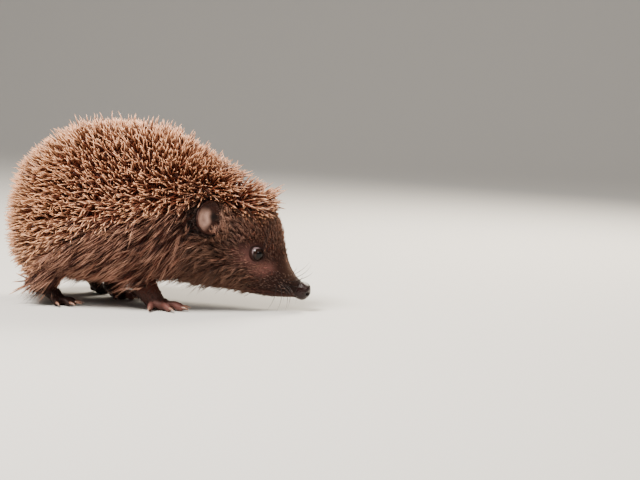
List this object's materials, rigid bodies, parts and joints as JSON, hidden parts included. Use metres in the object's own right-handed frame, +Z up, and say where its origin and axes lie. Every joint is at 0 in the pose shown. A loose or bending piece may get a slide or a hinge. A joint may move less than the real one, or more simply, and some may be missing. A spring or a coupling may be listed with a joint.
{
  "type": "hedgehog",
  "caption": "Life-size young hedgehog in mid-step with its nose held low: spiny back and crown, furry flanks, bare ears, pointed snout, splayed clawed feet.",
  "frame": {"origin": "on the floor under the middle of the animal's bounding box", "axes": "+X towards the nose, +Y to the animal's left, +Z up"},
  "size_m": [0.161, 0.086, 0.0981],
  "materials": {
    "spines": "banded horn-like spines, matt",
    "fur": "coarse brown hair",
    "face_fur": "short dark hair",
    "skin": "bare wrinkled skin",
    "ear_skin": "thin bare skin",
    "nose": "moist black skin",
    "eye": "wet and black",
    "horn": "pale horn, half gloss"
  },
  "bodies": {
    "root": {"trunk_back": "spines", "trunk_flanks": "fur", "neck_nape": "spines", "neck_throat": "fur", "head_crown": "spines", "head_face": "face_fur", "head_muzzle": "face_fur", "head_jaw": "face_fur", "head_nose": "nose", "tail": "skin", "eye_right": "eye", "ear_right": "ear_skin", "eye_left": "eye", "ear_left": "ear_skin", "foreleg_right": "fur", "forefoot_right": "skin", "foreclaw_right_1": "horn", "foreclaw_right_2": "horn", "foreclaw_right_3": "horn", "foreclaw_right_4": "horn", "foreclaw_right_5": "horn", "foreleg_left": "fur", "forefoot_left": "skin", "foreclaw_left_1": "horn", "foreclaw_left_2": "horn", "foreclaw_left_3": "horn", "foreclaw_left_4": "horn", "foreclaw_left_5": "horn", "hindleg_right": "fur", "hindfoot_right": "skin", "hindclaw_right_1": "horn", "hindclaw_right_2": "horn", "hindclaw_right_3": "horn", "hindclaw_right_4": "horn", "hindclaw_right_5": "horn", "hindleg_left": "fur", "hindfoot_left": "skin", "hindclaw_left_1": "horn", "hindclaw_left_2": "horn", "hindclaw_left_3": "horn", "hindclaw_left_4": "horn", "hindclaw_left_5": "horn"}
  },
  "joints": []
}
